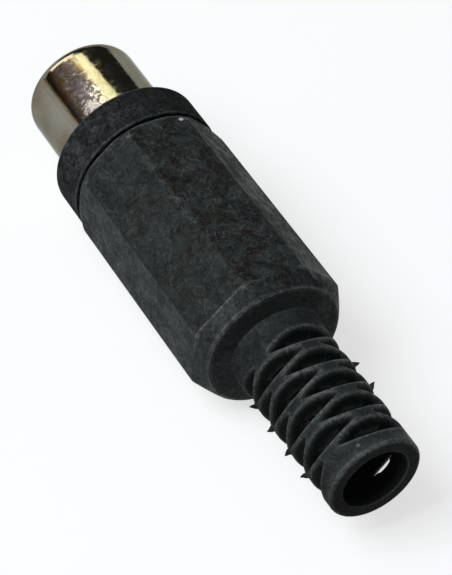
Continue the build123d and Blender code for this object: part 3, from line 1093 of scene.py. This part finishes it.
def finish(piece, material):
    """Gives a piece one material in place of any that it has."""
    piece.data.materials.clear()
    piece.data.materials.append(material)


finish(cover, plastic(
    "cover_plastic", slate=(0.022, 0.0288, 0.0305), brown=(0.022, 0.0207, 0.0202), worn_and_highlight=(0.16, 0.175, 0.175),
    rough=(0.42, 0.75), sheen=0.1, specks=SPECKS))
finish(front_body, plastic(
    "collar_plastic", slate=(0.034, 0.0368, 0.0386), brown=grey(0.002), worn_and_highlight=(0.16, 0.172, 0.176),
    rough=(0.55, 0.85), sheen=0.02, patches=COLLAR_PATCHES))
finish(core, plastic(
    "core_plastic", slate=grey(0.012), brown=grey(0.01), worn_and_highlight=grey(0.02), rough=(0.4, 0.6), sheen=0.1))
finish(barrel, nickel("nickel_plate"))
finish(frame["nodes"]["centre_contact"], metal(
    "contact_plate", dark=(0.6, 0.5, 0.3), light=(0.75, 0.66, 0.46), rough=(0.18, 0.35)))
finish(frame["nodes"]["earth_tag"], metal(
    "tinned_strip", dark=(0.5, 0.5, 0.49), light=(0.68, 0.68, 0.66), rough=(0.3, 0.5)))

# Floor, level with the lowest point of the part
floor_mesh = bpy.data.meshes.new("floor")
floor_mesh.from_pydata(
    [(FLOOR_HALF * x, FLOOR_HALF * y, cad_low.z) for x, y in ((-1, -1), (1, -1), (1, 1), (-1, 1))],
    [], [(0, 1, 2, 3)])
floor = bpy.data.objects.new("floor", floor_mesh)
bpy.context.scene.collection.objects.link(floor)
finish(floor, pale_floor("floor"))

# World: pale round the horizon and dark above, with a dim wall on one side; white below where it is seen
world = bpy.data.worlds.new("room")
bpy.context.scene.world = world
world.use_nodes = True
room = world.node_tree
room_place = room.nodes.new("ShaderNodeTexCoord")
room_split = room.nodes.new("ShaderNodeSeparateXYZ")
room.links.new(room_place.outputs["Generated"], room_split.inputs["Vector"])
room_height = room_split.outputs["Z"]
room_colour = ramp_node(room, room_height, ROOM_COLOURS)
wall = ramp_node(room, room_height, WALL_COLOURS)
wall_side = range_node(room, room_split.outputs["Y"], *WALL_SIDE)
wall_share = times_node(room, wall_side, range_node(room, room_height, *WALL_FOOT))
room_colour = mix_node(room, "RGBA", wall_share, room_colour, wall)
skirting = range_node(room, room_height, *SKIRTING_RANGE)
skirting = times_node(room, seen_rays(room), skirting)
room_colour = mix_node(room, "RGBA", skirting, room_colour, (*SKIRTING_WHITE, 1))
room.links.new(room_colour, room.nodes["Background"].inputs["Color"])


def softbox(name, direction, distance, size, power, colour, roll=0):
    """Rectangular lamp that faces the middle of the object from a direction."""
    lamp = bpy.data.lights.new(name, "AREA")
    lamp.shape = "RECTANGLE"
    lamp.size, lamp.size_y = size
    lamp.energy = power
    lamp.color = colour
    holder = bpy.data.objects.new(name, lamp)
    towards = Vector(direction).normalized()
    subject = Vector(((cad_low.x + cad_high.x) / 2, 0, 0))
    holder.location = subject + towards * distance
    facing = towards.to_track_quat("Z", "Y").to_matrix() @ Matrix.Rotation(roll, 3, "Z")
    holder.rotation_euler = facing.to_euler()
    bpy.context.scene.collection.objects.link(holder)
    return holder


# Lamps: one lights the part, and two only show as reflections
softbox("window_light", direction=(-0.08, -0.6, 0.79), distance=0.5, size=(0.26, 0.26), power=1.38,
        colour=(0.88, 0.98, 1.02))
tube_lamp = softbox("tube_lamp", direction=(-0.71, 0.085, 0.7), distance=0.2, size=(0.15, 0.026),
                    power=0.059, colour=(1, 0.95, 0.62), roll=radians(-17.4))
rim_lamp = softbox("rim_lamp", direction=(-0.861, -0.235, 0.452), distance=0.4, size=(0.244, 0.115),
                   power=0.44, colour=(1, 0.96, 0.75), roll=radians(-34.6))
tube_lamp.visible_diffuse = False
rim_lamp.visible_diffuse = False

# Camera and its view
camera_data = bpy.data.cameras.new("camera")
camera_data.sensor_width = CAMERA_SENSOR
camera_data.lens = CAMERA_LENS
camera_data.clip_start = CAMERA_NEAREST
camera = bpy.data.objects.new("camera", camera_data)
camera_back = Vector((
    sin(CAMERA_AZIMUTH) * cos(CAMERA_ELEVATION),
    -cos(CAMERA_AZIMUTH) * cos(CAMERA_ELEVATION),
    sin(CAMERA_ELEVATION)))
camera.location = CAMERA_PLACE
camera_turn = (-camera_back).to_track_quat("-Z", "Y").to_matrix() @ Matrix.Rotation(CAMERA_ROLL, 3, "Z")
camera.rotation_euler = camera_turn.to_euler()
bpy.context.scene.collection.objects.link(camera)
bpy.context.scene.camera = camera
bpy.context.scene.view_settings.view_transform = "Standard"
